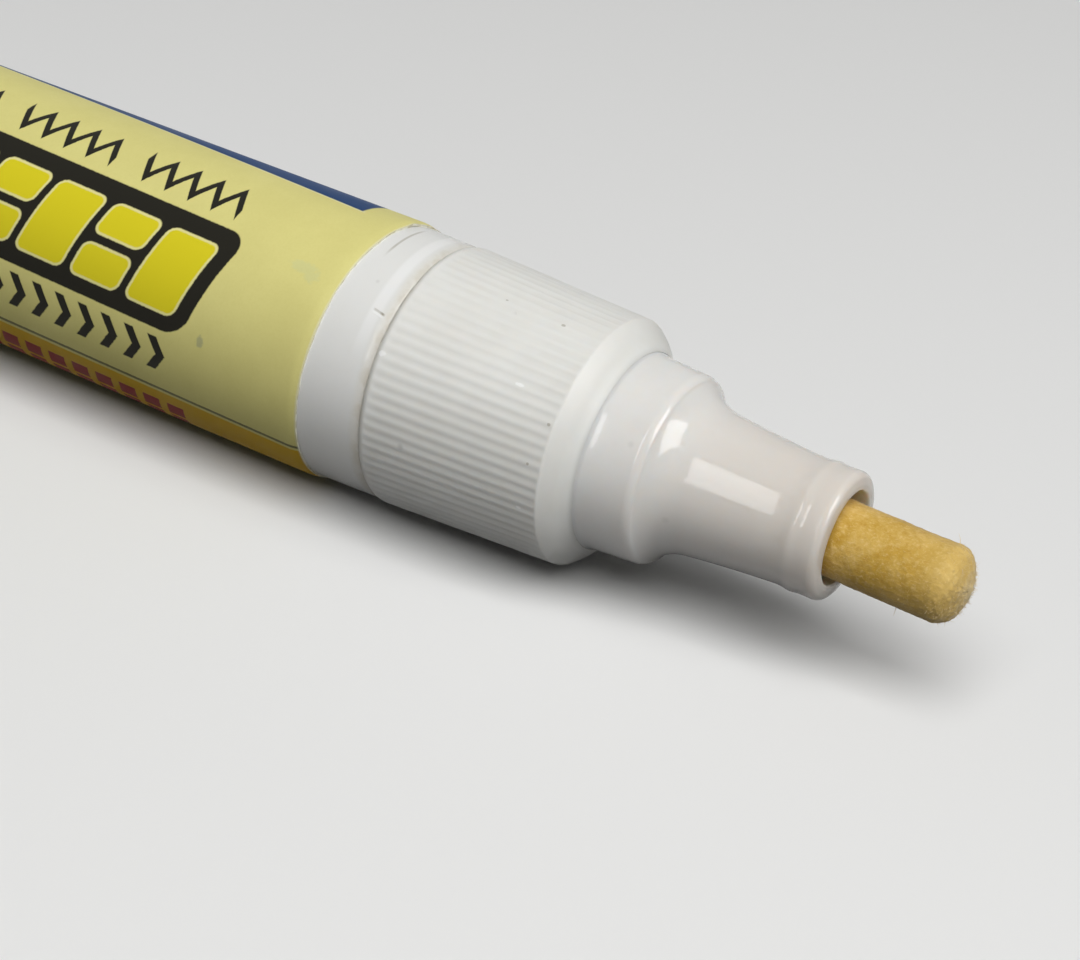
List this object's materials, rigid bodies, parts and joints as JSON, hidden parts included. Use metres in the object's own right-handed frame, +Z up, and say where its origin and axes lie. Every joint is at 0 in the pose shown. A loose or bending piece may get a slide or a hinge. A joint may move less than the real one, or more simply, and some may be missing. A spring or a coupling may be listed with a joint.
{
  "type": "grout marker",
  "caption": "Pump-action paint marker for tile grout: labelled barrel, ribbed screw collar, stepped nozzle, worn felt nib, spring valve inside, and a cap posted on the tail.",
  "frame": {"origin": "middle of the marker's length and width, on the surface it lies on", "axes": "+X along the axis towards the nib, +Z up, +Y to the back; the label's main panel faces -Y and up"},
  "size_m": [0.1546, 0.016, 0.016],
  "materials": {
    "white_plastic": "satin white moulded plastic",
    "collar_plastic": "satin white moulded plastic, finely ribbed",
    "nozzle_plastic": "glossy, slightly translucent white plastic",
    "cap_plastic": "satin white moulded plastic",
    "printed_film": "satin printed film",
    "felt": "paint-soaked felt, matt",
    "natural_plastic": "natural milky plastic",
    "rubber": "black soft rubber",
    "steel": "bright stainless steel"
  },
  "bodies": {
    "barrel": {"barrel": "white_plastic", "label": "printed_film", "tail_plug": "white_plastic"},
    "head": {"nozzle": "nozzle_plastic", "head_gasket": "rubber", "valve_body": "natural_plastic", "spring_retainer": "natural_plastic", "valve_spring": "steel"},
    "collar": {"collar": "collar_plastic"},
    "nib": {"nib": "felt"},
    "valve_stem": {"valve_stem": "natural_plastic", "valve_seal": "rubber"},
    "mixing_ball": {"mixing_ball": "steel"},
    "cap": {"cap": "cap_plastic", "cap_liner": "natural_plastic"}
  },
  "joints": [
    {"name": "head_lift", "type": "slide", "parent": "barrel", "child": "head", "axis": [1, 0, 0], "range_m": [0, 0.0048]},
    {"name": "collar_turn", "type": "hinge", "parent": "head", "child": "collar", "pos_m": [0, 0, 0.008], "axis": [1, 0, 0], "range_deg": [0, 1080.5]},
    {"name": "nib_press", "type": "slide", "parent": "head", "child": "nib", "axis": [-1, 0, 0], "range_m": [0, 0.0022]},
    {"name": "valve_open", "type": "slide", "parent": "head", "child": "valve_stem", "axis": [-1, 0, 0], "range_m": [0, 0.0022], "stiffness_N_per_m": 900, "springref_m": -0.002, "deforming": ["valve_spring"]},
    {"name": "ball_roll", "type": "slide", "parent": "barrel", "child": "mixing_ball", "axis": [1, 0, 0], "range_m": [-0.0168, 0.0554]},
    {"name": "cap_pull", "type": "slide", "parent": "barrel", "child": "cap", "axis": [-1, 0, 0], "range_m": [0, 0.012]}
  ],
  "couplings": [
    {"joint": "collar_turn", "follows": "head_lift", "rad_per_m": 3927},
    {"joint": "valve_open", "follows": "nib_press", "ratio": 1}
  ]
}
